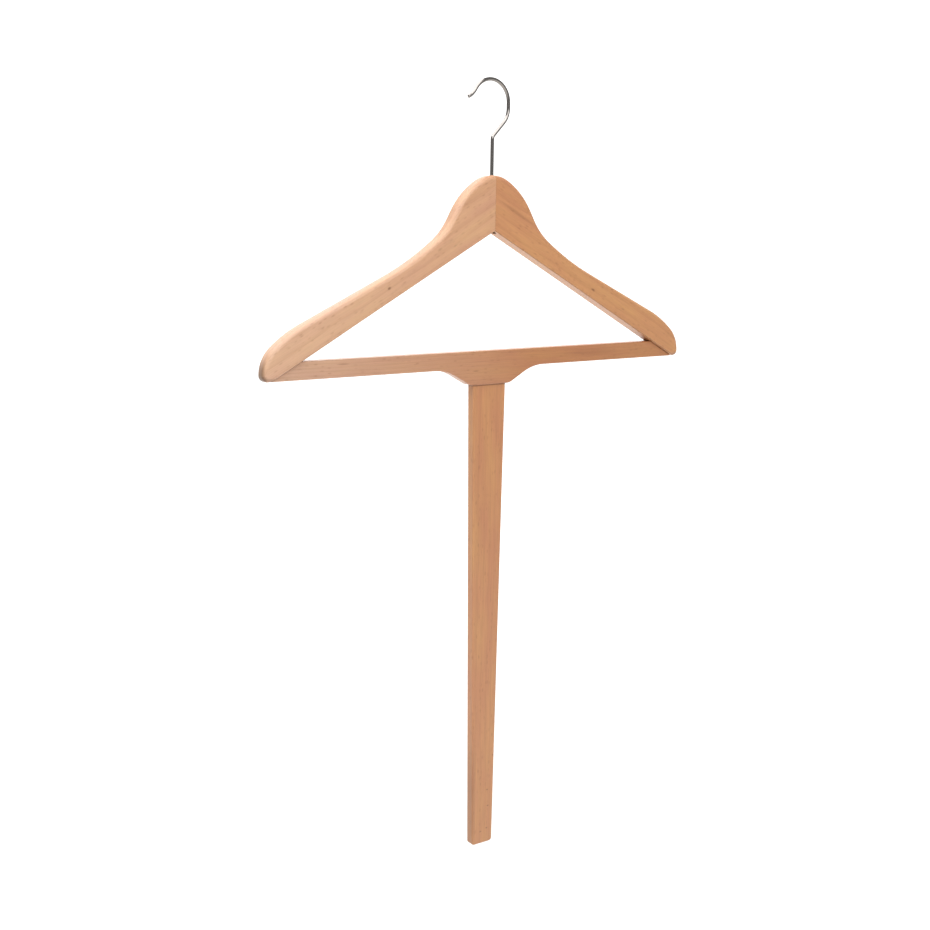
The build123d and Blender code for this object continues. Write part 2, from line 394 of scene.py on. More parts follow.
    def fibres(self, tree: bpy.types.NodeTree, grain: bpy.types.NodeSocket) -> bpy.types.NodeSocket:
        """Draw the fibres: noise some thirty times as long along the grain as across it."""
        strand = (1 / self.fibre_length, 1 / self.fibre_width, 1 / self.fibre_width)
        strands = add(tree, "VectorMath", {0: grain, 1: strand}, operation="MULTIPLY").outputs[0]
        return add(tree, "TexNoise", {"Vector": strands, "Scale": 1.0, "Detail": 4.0}).outputs[0]

    def tone(
        self, tree: bpy.types.NodeTree, grain: bpy.types.NodeSocket, cut: BoardCut
    ) -> bpy.types.NodeSocket:
        """Mix straw and blush in long soft bands, shifted by the board's own redness, then lay on a
        painted pale sheen set by shares at the hanger's left and right ends.

        Args:
            tree: the board's node tree.
            grain: the lengths from along_the_grain.
            cut: how the board was sawn.

        Returns:
            The socket of the wood's ground colour.
        """
        size = (1 / self.band_length, 1 / self.band_width, 1 / self.band_width)
        band = add(tree, "VectorMath", {0: grain, 1: size}, operation="MULTIPLY").outputs[0]
        noise = {"Vector": band, "Scale": 1.0, "Detail": 4.0, "Roughness": 0.62}
        bands = add(tree, "TexNoise", noise).outputs[0]
        middle = 0.5 - self.redness_shift * cut.redness
        low, high = middle - self.band_softness, middle + self.band_softness
        share = add(tree, "MapRange", {"Value": bands, "From Min": low, "From Max": high})
        mixed = add(
            tree,
            "Mix",
            {MIX_FACTOR: share.outputs[0], MIX_A: linear(self.straw), MIX_B: linear(self.blush)},
            data_type="RGBA",
        ).outputs[MIX_RESULT]
        deepened = add(
            tree,
            "Mix",
            {MIX_FACTOR: cut.steamed, MIX_A: mixed, MIX_B: linear(self.steamed)},
            data_type="RGBA",
        ).outputs[MIX_RESULT]
        # Painted sheen: a pale colour laid on by X, its share running between the two ends' shares.
        across = add(tree, "SeparateXYZ", {0: add(tree, "TexCoord").outputs["Object"]}).outputs["X"]
        pale = add(
            tree,
            "MapRange",
            {
                "Value": across,
                "From Min": cad_box[0][0],
                "From Max": cad_box[1][0],
                "To Min": cut.painted_sheen[0],
                "To Max": cut.painted_sheen[1],
            },
        )
        return self.shaded(tree, deepened, self.painted_sheen, pale.outputs[0], 1.0)

    def shaded(
        self,
        tree: bpy.types.NodeTree,
        colour: bpy.types.NodeSocket,
        shade: str,
        mask: bpy.types.NodeSocket,
        strength: float,
    ) -> bpy.types.NodeSocket:
        """Lay a shade over a colour where a mask says.

        Args:
            tree: the board's node tree.
            colour: the colour so far.
            shade: the hex colour to lay over it.
            mask: where, from 0 to 1.
            strength: how much of the shade a full mask gives.

        Returns:
            The socket of the new colour.
        """
        share = add(tree, "Math", {0: mask, 1: strength}, operation="MULTIPLY").outputs[0]
        mixed = add(
            tree, "Mix", {MIX_FACTOR: share, MIX_A: colour, MIX_B: linear(shade)}, data_type="RGBA"
        )
        return mixed.outputs[MIX_RESULT]

    def fibre_shade(
        self, tree: bpy.types.NodeTree, colour: bpy.types.NodeSocket, fibres: bpy.types.NodeSocket
    ) -> bpy.types.NodeSocket:
        """Lighten the fibres' crests and darken the hollows by a few parts in a hundred."""
        dark, bright = self.fibre_light
        light = add(
            tree,
            "MapRange",
            {"Value": fibres, "From Min": 0.3, "From Max": 0.7, "To Min": dark, "To Max": bright},
        )
        return add(
            tree, "HueSaturation", {"Color": colour, "Value": light.outputs[0]}
        ).outputs["Color"]

    def mark_or_shade_mask(
        self, tree: bpy.types.NodeTree, cut: BoardCut, mark_or_shade: MarkOrPaintedShade
    ) -> bpy.types.NodeSocket:
        """Fade out from a mark's middle over an ellipsoid that lies along the grain.

        Args:
            tree: the board's node tree.
            cut: how the board was sawn.
            mark_or_shade: the mark.

        Returns:
            A socket that is 1 in the middle of the mark and 0 outside it.
        """
        reach = (mark_or_shade.length / 2, mark_or_shade.depth / 2, mark_or_shade.width / 2)
        scaled = add(
            tree,
            "Mapping",
            {
                "Vector": add(tree, "TexCoord").outputs["Object"],
                "Location": tuple(c * MM for c in mark_or_shade.middle),
                "Rotation": (0, -math.radians(cut.grain_angle), 0),
                "Scale": tuple(c * MM for c in reach),
            },
            vector_type="TEXTURE",
        ).outputs[0]
        away = add(tree, "VectorMath", {0: scaled}, operation="LENGTH").outputs["Value"]
        return add(
            tree,
            "MapRange",
            {"Value": away, "From Min": 1.0, "From Max": 0.2},
            interpolation_type="SMOOTHSTEP",
        ).outputs[0]

    def joint_shadow_mask(self, tree: bpy.types.NodeTree, joint: PaintedJointShadow) -> bpy.types.NodeSocket:
        """Fade the painted shadow out from 1 at a joint's plane to 0 at the line's width into the
        board.

        Args:
            tree: the board's node tree.
            joint: the joint's line.

        Returns:
            The socket of the mask.
        """
        place = add(tree, "TexCoord").outputs["Object"]
        point = tuple(c * MM for c in joint.point)
        from_point = add(tree, "VectorMath", {0: place, 1: point}, operation="SUBTRACT").outputs[0]
        depth = add(tree, "VectorMath", {0: from_point, 1: joint.inwards}, operation="DOT_PRODUCT")
        return add(
            tree,
            "MapRange",
            {
                "Value": depth.outputs["Value"],
                "From Min": joint.width * MM,
                "From Max": 0.3 * joint.width * MM,
            },
            interpolation_type="SMOOTHSTEP",
        ).outputs[0]

    def eased_edges(self, tree: bpy.types.NodeTree) -> bpy.types.NodeSocket:
        """Find the rounded edges between the flat faces and the underside, which get painted shade.

        With n the surface's direction, the mask is 4 ny^2 (1 - ny^2), which peaks halfway round
        the edge, faded in over -nz.

        Args:
            tree: the board's node tree.

        Returns:
            A socket that is 1 halfway round an edge that looks down, and 0 on flat faces.
        """
        facing = add(tree, "SeparateXYZ", {0: add(tree, "TexCoord").outputs["Normal"]})
        flat = add(tree, "Math", {0: facing.outputs["Y"], 1: 2.0}, operation="POWER").outputs[0]
        level = add(tree, "Math", {0: 1.0, 1: flat}, operation="SUBTRACT").outputs[0]
        halfway = add(tree, "Math", {0: flat, 1: level}, operation="MULTIPLY").outputs[0]
        start, full = self.eased_slopes
        down = add(
            tree,
            "MapRange",
            {"Value": facing.outputs["Z"], "From Min": start, "From Max": full, "To Max": 4.0},
        ).outputs[0]
        return add(tree, "Math", {0: halfway, 1: down}, operation="MULTIPLY").outputs[0]

    def cut_ends(self, tree: bpy.types.NodeTree, cut: BoardCut) -> bpy.types.NodeSocket:
        """Find the sawn ends, which soak up lacquer and go darker: faces that look along the grain.

        Args:
            tree: the board's node tree.
            cut: how the board was sawn.

        Returns:
            A socket that is 1 on end grain and 0 on the board's faces and edges.
        """
        climb = math.radians(cut.grain_angle)
        along = (math.cos(climb), 0, math.sin(climb))
        facing = add(tree, "TexCoord").outputs["Normal"]
        lined_up = add(tree, "VectorMath", {0: facing, 1: along}, operation="DOT_PRODUCT")
        either_end = add(tree, "Math", {0: lined_up.outputs["Value"]}, operation="ABSOLUTE").outputs[0]
        start, full = self.end_cosines
        return add(
            tree,
            "MapRange",
            {"Value": either_end, "From Min": start, "From Max": full},
            interpolation_type="SMOOTHSTEP",
        ).outputs[0]


@dataclass(frozen=True)
class ChromedWire:
    """Chrome on drawn steel wire: glossy, with faint drawing lines along it. Its deep warm grey,
    darker than chrome's own colour, is a painted dark reflection of the surroundings.
    """

    # Painted reflection: a grey darker than chrome's own, standing in for dark surroundings.
    colour: str = "98938F"
    roughness: float = 0.09
    line_spacing: float = 0.25  # mm round the wire; real die lines are finer than can show
    line_length: float = 20.0   # mm along the wire
    line_relief: float = 0.002  # mm

    def material(self) -> bpy.types.Material:
        """Make the wire's material, which reads the wire's own UV map of metres along and round."""
        material, shader = new_material(
            "chromed_wire", {"Base Color": linear(self.colour), "Metallic": 1.0}
        )
        tree = material.node_tree
        unrolled = add(tree, "UVMap", uv_map=WIRE_UV).outputs["UV"]
        line = (1 / (self.line_length * MM), 1 / (self.line_spacing * MM), 0)
        lines = add(tree, "VectorMath", {0: unrolled, 1: line}, operation="MULTIPLY").outputs[0]
        drawn = add(tree, "TexNoise", {"Vector": lines, "Scale": 1.0, "Detail": 3.0}).outputs[0]
        roughness = add(
            tree,
            "MapRange",
            {"Value": drawn, "To Min": self.roughness, "To Max": 2 * self.roughness},
        )
        relief = add(tree, "Bump", {"Distance": self.line_relief * MM, "Height": drawn})
        tree.links.new(roughness.outputs[0], shader.inputs["Roughness"])
        tree.links.new(relief.outputs[0], shader.inputs["Normal"])
        return material


@dataclass(frozen=True)
class ZincPlate:
    """Clear-passivated zinc on cold-formed steel: pale grey, softly blotched blue and yellow."""

    grey: str = "B4B8BC"
    tint: str = "C2BDA8"
    blotch: float = 1.6         # mm across a blotch
    roughness: tuple[float, float] = (0.28, 0.46)

    def material(self) -> bpy.types.Material:
        """Make the material of the nut and the washer."""
        material, shader = new_material("zinc_plate", {"Metallic": 1.0})
        tree = material.node_tree
        place = add(tree, "TexCoord").outputs["Object"]
        blotches = add(
            tree, "TexNoise", {"Vector": place, "Scale": 1 / (self.blotch * MM), "Detail": 3.0}
        ).outputs[0]
        colour = add(
            tree,
            "Mix",
            {MIX_FACTOR: blotches, MIX_A: linear(self.grey), MIX_B: linear(self.tint)},
            data_type="RGBA",
        )
        smooth, dull = self.roughness
        roughness = add(tree, "MapRange", {"Value": blotches, "To Min": smooth, "To Max": dull})
        tree.links.new(colour.outputs[MIX_RESULT], shader.inputs["Base Color"])
        tree.links.new(roughness.outputs[0], shader.inputs["Roughness"])
        return material


@dataclass(frozen=True)
class StudioPaper:
    """Matt white background paper on a light table that glows more and more towards the back."""

    white: str = "F6F5F3"
    cloud: str = "F1F0ED"
    cloud_size: float = 40.0    # mm
    glow: float = 0.80
    glow_from: float = 0.05     # metres from the hanger towards the back, where the glow starts
    glow_full: float = 2.00     # and where it is full

    def material(self, behind: Triple) -> bpy.types.Material:
        """Make the floor's material.

        Args:
            behind: the direction from the hanger towards the back of the studio.

        Returns:
            The paper's material.
        """
        material, shader = new_material("studio_paper", {"Roughness": 0.95})
        tree = material.node_tree
        place = add(tree, "TexCoord").outputs["Object"]
        clouds = add(
            tree, "TexNoise", {"Vector": place, "Scale": 1 / (self.cloud_size * MM), "Detail": 4.0}
        ).outputs[0]
        colour = add(
            tree,
            "Mix",
            {MIX_FACTOR: clouds, MIX_A: linear(self.white), MIX_B: linear(self.cloud)},
            data_type="RGBA",
        )
        back = add(tree, "VectorMath", {0: place, 1: behind}, operation="DOT_PRODUCT")
        lit = add(
            tree,
            "MapRange",
            {
                "Value": back.outputs["Value"],
                "From Min": self.glow_from,
                "From Max": self.glow_full,
                "To Max": self.glow,
            },
        )
        shader.inputs["Emission Color"].default_value = (1, 1, 1, 1)
        tree.links.new(colour.outputs[MIX_RESULT], shader.inputs["Base Color"])
        tree.links.new(lit.outputs[0], shader.inputs["Emission Strength"])
        return material


# Surfaces ----------------------------------------------------------------------------------------
WIRE_UV = "along_and_round"


class Ends(Enum):
    """What happens at the first and last ring of a surface."""

    CAPPED = "each ring is closed with a flat face"
    JOINED = "the last ring runs on into the first"


def ring_surface(
    name: str, rings: np.ndarray, ends: Ends, material: bpy.types.Material, along: np.ndarray
) -> bpy.types.Object:
    """Make a piece from rings of points.

    Point (i, j) of the grid is joined to its neighbours (i + 1, j) and (i, j + 1), and column j
    runs on from the last to the first. Where the mesh would be inside out, which the sign of the
    sum of a . (b x c) over its triangles shows, the order of its corners is turned round.

    Args:
        name: the piece's name.
        rings: the points, as rings by points of a ring by three, in metres.
        ends: what happens at the first and last ring.
        material: the piece's finish.
        along: each ring's distance along the piece, in metres, for the UV map.

    Returns:
        The new object, linked to the scene.
    """
    count, around, _ = rings.shape
    rows = np.arange(count if ends is Ends.JOINED else count - 1)
    i, j = np.meshgrid(rows, np.arange(around), indexing="ij")
    above, beside = (i + 1) % count, (j + 1) % around
    quads = np.stack(
        [i * around + j, above * around + j, above * around + beside, i * around + beside], axis=-1
    ).reshape(-1, 4)
    points = rings.reshape(-1, 3)
    faces = quads.tolist()
    if ends is Ends.CAPPED:
        faces.append(list(range(around)))
        faces.append(list(range(count * around - 1, (count - 1) * around - 1, -1)))
    a, b, c, d = (points[quads[:, k]] for k in range(4))
    if np.sum(a * np.cross(b, c)) + np.sum(a * np.cross(c, d)) < 0:
        faces = [face[::-1] for face in faces]
    mesh = bpy.data.meshes.new(name)
    mesh.from_pydata(points.tolist(), [], faces)
    smooth = np.array([len(face) == 4 for face in faces])
    mesh.polygons.foreach_set("use_smooth", smooth)
    corner = np.zeros(len(mesh.loops), np.int32)
    mesh.loops.foreach_get("vertex_index", corner)
    girth = np.linalg.norm(rings[:, 1] - rings[:, 0], axis=-1).max()
    unrolled = np.stack([along[corner // around], (corner % around) * girth], axis=-1)
    mesh.uv_layers.new(name=WIRE_UV).data.foreach_set("uv", unrolled.astype(np.float32).ravel())
    mesh.materials.append(material)
    mesh.update()
    piece = bpy.data.objects.new(name, mesh)
    bpy.context.scene.collection.objects.link(piece)
    return piece


def full_turn(count: int) -> np.ndarray:
    """Give evenly spaced angles once round, in radians."""
    return np.linspace(0, 2 * math.pi, count, endpoint=False)


def turned_rings(profile: np.ndarray, angles: np.ndarray) -> np.ndarray:
    """Turn a profile round the Z axis: a point (r, z) goes to (r cos a, r sin a, z) at each angle a.

    Args:
        profile: radii and heights, as points by two, or as points by angles by two.
        angles: the angles in radians.

    Returns:
        The points, as profile points by angles by three.
    """
    if profile.ndim == 2:
        profile = np.repeat(profile[:, None, :], len(angles), axis=1)
    radius, height = profile[..., 0], profile[..., 1]
    return np.stack([radius * np.cos(angles), radius * np.sin(angles), height], axis=-1)


def dress(node: str, material: bpy.types.Material) -> None:
    """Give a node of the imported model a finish, and report it.

    Args:
        node: the node's name.
        material: its finish.
    """
    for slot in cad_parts[node].material_slots:
        slot.material = material
    log.info("%s: dressed in %s", node, material.name)


def front_face(node: str) -> float:
    """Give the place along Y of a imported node's front face, in mm."""
    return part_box(node)[0].y / MM


# Sub-assemblies ----------------------------------------------------------------------------------
@dataclass
class HookAssembly:
    """The bent wire, its rolled thread, and the nut and washer that let it turn in the head."""

    wire_d: float = 3.3
    shank: float = 70.5         # straight wire from the washer up to the first bend
    shank_bend: tuple[float, float] = (5.0, -44.0)   # a bend's radius in mm and turn in degrees
    diagonal: float = 14.5
    side_bend: tuple[float, float] = (17.5, 44.0)
    side: float = 4.5
    crown: tuple[float, float] = (18.6, 148.0)
    lip: tuple[float, float] = (18.0, -34.0)
    tip_rounding: float = 1.2
    tip_rings: int = 9
    thread_d: float = 3.0
    thread_pitch: float = 0.5   # M3, coarse
    thread_rings: int = 12      # rings of points to a turn
    thread_tail: float = 1.0    # thread below the nut
    thread_depth: float = 0.27
    bore_clearance: float = 0.02
    nut_flats: float = 5.5
    nut_face: float = 0.95      # the flat face's circle, as a share of the flats
    nut_chamfer: float = 30.0   # degrees
    washer_edge: float = 0.15   # rounding that the punch leaves
    edge_points: int = 7
    straight_step: float = 1.0  # mm from ring to ring on a straight run, and bend_step in a bend
    bend_step: float = 0.4
    around: int = 48            # points round the wire
    turned: int = 96            # points round the nut and the washer
    body: str = "hook"

    def build(self) -> None:
        """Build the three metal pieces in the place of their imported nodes."""
        washer_low, washer_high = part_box("hook_washer")
        nut_low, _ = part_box("hook_nut")
        chrome, zinc = ChromedWire().material(), ZincPlate().material()
        wire_end = nut_low.z / MM - self.thread_tail
        wire = self.bent_wire(wire_end, washer_high.z / MM, chrome)
        self.fit(wire, "hook")
        nut = self.nut(nut_low.z / MM, washer_low.z / MM, zinc)
        self.fit(nut, "hook_nut")
        washer = self.washer(washer_low.z / MM, washer_high.z / MM, washer_high.x / MM, zinc)
        self.fit(washer, "hook_washer")

    def fit(self, piece: bpy.types.Object, node: str) -> None:
        """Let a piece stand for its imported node, ride with the hook, and report it."""
        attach(piece, self.body)
        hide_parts(node)
        log.info("%s: %d faces in the place of %s", piece.name, len(piece.data.polygons), node)

    def bends(self, start: float, seat: float) -> tuple[np.ndarray, np.ndarray, np.ndarray]:
        """Work out the wire's centre line.

        The wire is a chain of runs, each of one curvature. The heading is the sum of the turns so
        far. A step of length s that turns by t is a chord of s sin(t / 2) / (t / 2) along the
        heading at its middle, so the places are exact on straight runs and on arcs alike.

        Args:
            start: height of the thread's lower end, mm.
            seat: height of the washer's top, where the plain wire starts, mm.

        Returns:
            The distance along the wire, the places in the XZ plane, and the headings.
        """
        threaded = (seat - start, 0.0, self.thread_pitch / self.thread_rings)
        runs = [threaded, (self.shank, 0.0, self.straight_step)]
        for straight, (radius, turn) in (
            (0.0, self.shank_bend),
            (self.diagonal, self.side_bend),
            (self.side, self.crown),
            (0.0, self.lip),
        ):
            if straight:
                runs.append((straight, 0.0, self.straight_step))
            runs.append((radius * math.radians(abs(turn)), math.radians(turn), self.bend_step))
        counts = [max(1, round(length / step)) for length, _, step in runs]
        steps = np.repeat([run[0] / n for run, n in zip(runs, counts)], counts)
        turns = np.repeat([run[1] / n for run, n in zip(runs, counts)], counts)
        heading = math.pi / 2 + np.concatenate([[0], np.cumsum(turns)])
        middle = heading[:-1] + turns / 2
        chords = steps * np.sinc(turns / (2 * math.pi))
        moves = chords[:, None] * np.stack([np.cos(middle), np.sin(middle)], axis=-1)
        places = np.concatenate([[[0.0, 0.0]], np.cumsum(moves, axis=0)]) + (0.0, start)
        return np.concatenate([[0], np.cumsum(steps)]), places, heading

    def bent_wire(self, start: float, seat: float, chrome: bpy.types.Material) -> bpy.types.Object:
        """Carry the wire's round section along its centre line.

        At distance s and angle a the point is the centre line's place plus the radius r(s, a)
        times cos a along the line's normal and sin a along Y. In the thread r follows a triangle
        wave of s / pitch - a / 2 pi, and at the tip it closes on a quarter circle.

        Args:
            start: height of the thread's lower end, mm.
            seat: height of the washer's top, mm.
            chrome: the wire's finish.

        Returns:
            The wire.
        """
        along, places, heading = self.bends(start, seat)
        length = along[-1]
        quarter = np.linspace(0, math.pi / 2, self.tip_rings)
        near_tip = length - self.tip_rounding * (1 - np.sin(quarter))
        keep = along < near_tip[0]
        along_all = np.concatenate([along[keep], near_tip])
        places = np.stack([np.interp(along_all, along, places[:, k]) for k in (0, 1)], axis=-1)
        heading = np.interp(along_all, along, heading)
        angles = full_turn(self.around)
        radius = self.wire_radius(along_all[:, None], angles[None, :], seat - start, length)
        normal = np.stack([-np.sin(heading), np.zeros_like(heading), np.cos(heading)], axis=-1)
        centre = np.stack([places[:, 0], np.zeros_like(heading), places[:, 1]], axis=-1)
        rings = (
            centre[:, None, :]
            + radius[..., None] * np.cos(angles)[None, :, None] * normal[:, None, :]
            + radius[..., None] * np.sin(angles)[None, :, None] * np.array([0.0, 1.0, 0.0])
        )
        return ring_surface("hook_wire", rings * MM, Ends.CAPPED, chrome, along_all * MM)

    def wire_radius(
        self, along: np.ndarray, angle: np.ndarray, thread_length: float, length: float
    ) -> np.ndarray:
        """Give the wire's radius at each distance along it and each angle round it.

        Args:
            along: distances from the thread's end, mm.
            angle: angles round the wire, radians.
            thread_length: where the thread gives way to the plain wire, mm.
            length: the wire's whole length, mm.

        Returns:
            The radii in mm.
        """
        turn = along / self.thread_pitch - angle / (2 * math.pi)
        ridge = np.abs(2 * (turn - np.floor(turn)) - 1)
        thread = self.thread_d / 2 - self.thread_depth * ridge
        lead_in = self.thread_d / 2 - self.thread_depth + along
        plain = self.wire_d / 2 + 0 * angle
        to_tip = np.clip(length - along, 0, self.tip_rounding)
        drop = self.tip_rounding - np.sqrt(self.tip_rounding**2 - (self.tip_rounding - to_tip) ** 2)
        return np.where(along < thread_length, np.minimum(thread, lead_in), plain - drop)

    def nut(self, low: float, high: float, zinc: bpy.types.Material) -> bpy.types.Object:
        """Turn a closed section round Z to make the nut.

        The outer radius at angle a is that of a hexagon, half the flats over cos of the angle from
        the nearest flat's middle. Beyond the chamfer's inner circle the two faces fall away as
        cones, which gives the nut's rounded corners.

        Args:
            low: height of the nut's lower face, mm.
            high: height of its upper face, mm.
            zinc: its finish.

        Returns:
            The nut.
        """
        angles = full_turn(self.turned)
        flat = math.pi / 3
        from_flat = (angles + flat / 2) % flat - flat / 2
        hexagon = self.nut_flats / 2 / np.cos(from_flat)
        bore = np.full_like(angles, self.thread_d / 2 + self.bore_clearance)
        crest = np.full_like(angles, self.nut_face * self.nut_flats / 2)
        fall = (hexagon - crest) * math.tan(math.radians(self.nut_chamfer))
        flush = np.zeros_like(angles)
        section = [
            (bore, low + flush),
            (crest, low + flush),
            (hexagon, low + fall),
            (hexagon, high - fall),
            (crest, high + flush),
            (bore, high + flush),
        ]
        profile = np.stack([np.stack(point, axis=-1) for point in section])
        rings = turned_rings(profile, angles) * MM
        piece = ring_surface("hook_nut_hexagon", rings, Ends.JOINED, zinc, np.zeros(len(section)))
        piece.data.polygons.foreach_set("use_smooth", [False] * len(piece.data.polygons))
        return piece

    def washer(
        self, low: float, high: float, radius: float, zinc: bpy.types.Material
    ) -> bpy.types.Object:
        """Turn the washer's section round Z: a rectangle whose upper outer corner is a quarter circle.

        Args:
            low: height of the washer's lower face, mm.
            high: height of its upper face, mm.
            radius: its outer radius, mm.
            zinc: its finish.

        Returns:
            The washer.
        """
        bore = self.thread_d / 2 + self.bore_clearance
        round_over = np.linspace(0, math.pi / 2, self.edge_points)
        corner = np.stack(
            [
                radius - self.washer_edge * (1 - np.cos(round_over)),
                high - self.washer_edge * (1 - np.sin(round_over)),
            ],
            axis=-1,
        )
        profile = np.concatenate([[[bore, low], [radius, low]], corner, [[bore, high]]])
        angles = full_turn(self.turned)
        rings = turned_rings(profile, angles) * MM
        piece = ring_surface("hook_washer_disc", rings, Ends.JOINED, zinc, np.zeros(len(profile)))
        piece.data.polygons.foreach_set("use_smooth", [False] * len(piece.data.polygons))
        return piece


@dataclass
class Shoulders:
    """The two arms, whose grain runs down to their tips, and the dowels across their mitre."""

    slope: float = 28.4         # degrees that an arm's lower edge and its grain fall to the tip

    def build(self, beech: SteamedBeech) -> None:
        """Dress the arms and the head's dowels."""
        front = front_face("left_arm")
        left = BoardCut(
            "left_arm",
            self.slope,
            pith=(95.0, -60.0),
            start=400.0,
            redness=0.1,
            # Painted sheen, strongest at the hanger's left end.
            painted_sheen=(0.25, 0.0),
            # Painted shade on the lower eased edges.
            painted_edge_shade=0.5,
            marks_and_painted_shade=(
                MarkOrPaintedShade((-107, front, -170), 5.0, 3.2, strength=0.75),
                MarkOrPaintedShade((-57, front, -139), 7.0, 3.0, strength=0.25),
            ),
        )
        right = BoardCut(
            "right_arm",
            -self.slope,
            pith=(80.0, -70.0),
            start=-900.0,
            redness=0.1,
            # Painted shade on the lower eased edges.
            painted_edge_shade=0.5,
            marks_and_painted_shade=(
                MarkOrPaintedShade((22, front, -108), 64.0, 4.5, 12.0, strength=0.28),
                MarkOrPaintedShade((112, front, -176), 7.0, 3.0, strength=0.7),
                MarkOrPaintedShade((135, front, -176), 5.0, 2.0, strength=0.6),
            ),
        )
        dress("left_arm", beech.material(left, Sheen.SATIN_LACQUER))
        dress("right_arm", beech.material(right, Sheen.SATIN_LACQUER))
        dowel = beech.material(BoardCut("head_dowels", 0.0, (30.0, 40.0), 120.0), Sheen.RAW)
        for node in ("head_dowel_upper", "head_dowel_lower"):
            dress(node, dowel)


@dataclass
class CrossBar:
    """The bar between the arms, with the apron that carries the stem, and its two end dowels."""

    height: float = 15.0        # mm, away from the apron
    slope: float = 28.4         # degrees that its ends are cut to, to fit the arms
    nose: float = 1.5           # mm left blunt at each end

    def build(self, beech: SteamedBeech) -> None:
        """Dress the bar, with a painted shadow along each sloping end, and its dowels.

        Their grain runs along X. An end's line starts at the corner above its blunt nose.
        """
        front = front_face("cross_bar")
        marks = (
            MarkOrPaintedShade((-149, front, -230), 16.0, 2.4, strength=0.35),
            MarkOrPaintedShade((-16, front, -243), 9.0, 1.6, strength=0.45),
            # Painted shade: the wide faint streak darkens the bar's right part, where less light
            # falls.
            MarkOrPaintedShade((113, front, -233), 90.0, 9.0, 14.0, strength=0.16),
        )
        low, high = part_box("cross_bar")
        fall, level = math.sin(math.radians(self.slope)), math.cos(math.radians(self.slope))
        corner = high.z / MM - self.height + self.nose
        # Painted shadows along the bar's sloping ends, where the arms stand proud of it.
        ends = (
            PaintedJointShadow((low.x / MM, 0.0, corner), (fall, 0.0, -level)),
            PaintedJointShadow((high.x / MM, 0.0, corner), (-fall, 0.0, -level)),
        )
        cut = BoardCut(
            "cross_bar",
            0.0,
            pith=(60.0, 45.0),
            start=1500.0,
            redness=0.5,
            # Painted sheen, strongest at the hanger's left end.
            painted_sheen=(0.28, -0.18),
            steamed=0.36,
            marks_and_painted_shade=marks,
            joints=ends,
        )
        dress("cross_bar", beech.material(cut, Sheen.SATIN_LACQUER))
        dowel = beech.material(BoardCut("bar_dowels", 0.0, (-30.0, 50.0), 700.0), Sheen.RAW)
        for node in ("left_bar_dowel", "right_bar_dowel"):
            dress(node, dowel)


@dataclass
class Stem:
    """The long tapered stem and the two dowels that hold it under the apron."""

    upright: float = 90.0       # degrees from +X to the grain

    def build(self, beech: SteamedBeech) -> None:
        """Dress the stem and its dowels; their grain stands upright.

        Its flecks are placed by their distance from the middle and above the foot, in mm.
        """
        low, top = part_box("stem")
        front, foot = front_face("stem"), low.z / MM
        places = ((-2, 12), (5, 14), (6, 36), (5, 52), (11, 85))
        flecks = tuple(MarkOrPaintedShade((x, front, foot + up), 2.2, 3.4, strength=0.55) for x, up in places)
        # Painted shade: a wide dark streak low on the stem's left side, the side turned from the
        # light.
        stem_side_shade = MarkOrPaintedShade((-12, 1.5, foot + 36), 190.0, 7.0, 30.0, strength=0.34)
        # Painted shadow on the stem just under the apron's overhang.
        apron_shadow = PaintedJointShadow((0.0, 0.0, top.z / MM), (0.0, 0.0, -1.0), width=1.6, strength=0.55)
        cut = BoardCut(
            "stem",
            self.upright,
            pith=(70.0, 50.0),
            start=-2500.0,
            redness=0.4,
            steamed=0.1,
            marks_and_painted_shade=(*flecks, stem_side_shade),
            joints=(apron_shadow,),
        )
        dress("stem", beech.material(cut, Sheen.SATIN_LACQUER))
        dowel = beech.material(BoardCut("stem_dowels", self.upright, (40.0, 30.0), 60.0), Sheen.RAW)
        for node in ("stem_dowel_left", "stem_dowel_right"):
            dress(node, dowel)


# Studio ------------------------------------------------------------------------------------------
@dataclass(frozen=True)
class SoftBox:
    """One soft white light: its middle, the point that it faces, its sides in metres, its watts."""

    name: str
    middle: Triple
    towards: Triple
    width: float
    height: float
    watts: float

    def hang(self) -> None:
        """Add the light, facing its point and unseen by the camera itself."""
        data = bpy.data.lights.new(self.name, "AREA")
        data.shape, data.size, data.size_y = "RECTANGLE", self.width, self.height
        data.energy = self.watts
        lamp = bpy.data.objects.new(self.name, data)
        aim = Vector(self.towards) - Vector(self.middle)
        lamp.rotation_euler = aim.to_track_quat("-Z", "Y").to_euler()
        lamp.location = self.middle
        lamp.visible_camera = False
        bpy.context.scene.collection.objects.link(lamp)
        log.info("%s: %.0f W", self.name, self.watts)


